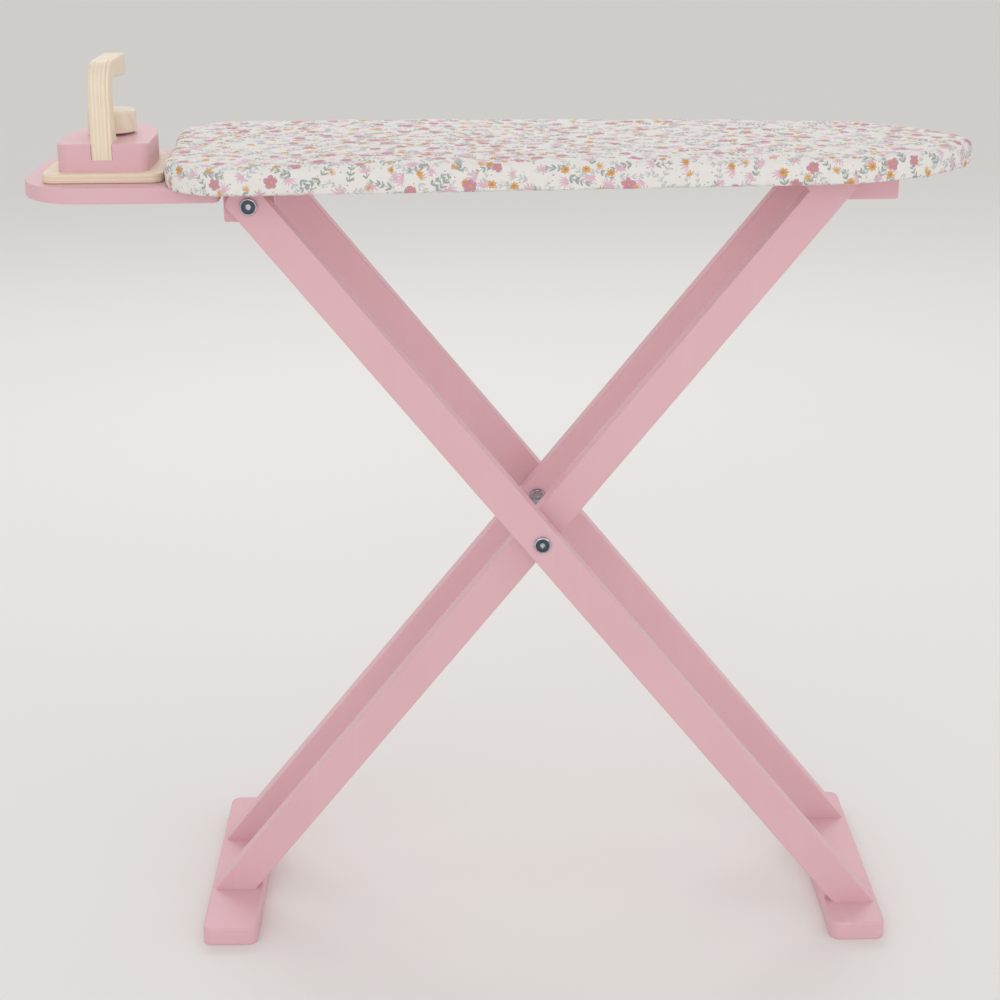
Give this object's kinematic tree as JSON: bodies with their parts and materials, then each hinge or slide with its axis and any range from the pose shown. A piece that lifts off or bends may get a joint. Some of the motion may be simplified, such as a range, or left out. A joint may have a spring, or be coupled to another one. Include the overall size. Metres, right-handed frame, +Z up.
{
  "type": "toy_ironing_board_with_iron",
  "caption": "Toy ironing board with folding crossed legs, a padded fabric cover, an iron rest and a loose wooden play iron with a turning knob.",
  "frame": {"origin": "On the floor, under the middle of the whole object's bounding box.", "axes": "+X points along the board to its rounded nose. +Y points to the board's left side, away from the user, and is where the play iron's nose points. +Z is up."},
  "size_m": [0.725, 0.2274, 0.7063],
  "materials": {
    "pink_painted_wood": "satin",
    "pale_plywood": "satin",
    "pale_beech": "satin",
    "bright_bolt_steel": "polished",
    "zinc_screw_steel": "satin",
    "spacer_plastic": "matt",
    "pad_foam": "matt",
    "printed_cotton": "matt",
    "elastic_band": "matt"
  },
  "bodies": {
    "board": {"board_panel": "pink_painted_wood", "foam_pad": "pad_foam", "fabric_cover": "printed_cotton", "hem_elastic": "elastic_band", "iron_rest_plate": "pink_painted_wood", "rest_plate_screws": "zinc_screw_steel", "heel_bracket_left": "pink_painted_wood", "heel_bracket_right": "pink_painted_wood", "bracket_screws": "zinc_screw_steel", "catch_block_left": "pink_painted_wood", "catch_block_right": "pink_painted_wood", "catch_arm_left": "pink_painted_wood", "catch_arm_right": "pink_painted_wood", "hook_screws": "zinc_screw_steel", "heel_bolt_left": "bright_bolt_steel", "heel_bolt_right": "bright_bolt_steel", "heel_cap_nut_left": "bright_bolt_steel", "heel_cap_nut_right": "bright_bolt_steel", "heel_washer_left": "zinc_screw_steel", "heel_washer_right": "zinc_screw_steel"},
    "outer_frame": {"outer_leg_left": "pink_painted_wood", "outer_leg_right": "pink_painted_wood", "outer_foot_bar": "pink_painted_wood", "outer_foot_screws": "zinc_screw_steel", "cross_bolt_left": "bright_bolt_steel", "cross_bolt_right": "bright_bolt_steel", "cross_cap_nut_left": "bright_bolt_steel", "cross_cap_nut_right": "bright_bolt_steel", "cross_spacer_left": "spacer_plastic", "cross_spacer_right": "spacer_plastic"},
    "inner_frame": {"inner_leg_left": "pink_painted_wood", "inner_leg_right": "pink_painted_wood", "inner_foot_bar": "pink_painted_wood", "inner_foot_screws": "zinc_screw_steel", "top_rail": "pink_painted_wood", "top_rail_screws": "zinc_screw_steel"},
    "iron": {"iron_sole": "pale_plywood", "iron_body": "pink_painted_wood", "iron_handle": "pale_plywood", "sole_screws": "zinc_screw_steel", "handle_screws": "zinc_screw_steel"},
    "knob": {"iron_knob": "pale_beech", "knob_screw": "zinc_screw_steel", "knob_washer": "spacer_plastic"}
  },
  "joints": [
    {"name": "leg_fold", "type": "hinge", "parent": "board", "child": "outer_frame", "pos_m": [-0.18925, 0, 0.603], "axis": [0, 1, 0], "range_deg": [0, 32]},
    {"name": "cross_fold", "type": "hinge", "parent": "outer_frame", "child": "inner_frame", "pos_m": [0.02861, 0, 0.333], "axis": [0, 1, 0], "range_deg": [-59.52, 0]},
    {"name": "iron_lift", "type": "slide", "parent": "board", "child": "iron", "axis": [0, 0, 1], "range_m": [0, 0.12]},
    {"name": "knob_turn", "type": "hinge", "parent": "iron", "child": "knob", "pos_m": [-0.29965, -0.003, 0.656], "axis": [0, 0, 1], "continuous": true}
  ],
  "couplings": [
    {"joint": "cross_fold", "follows": "leg_fold", "ratio": -1.86}
  ]
}
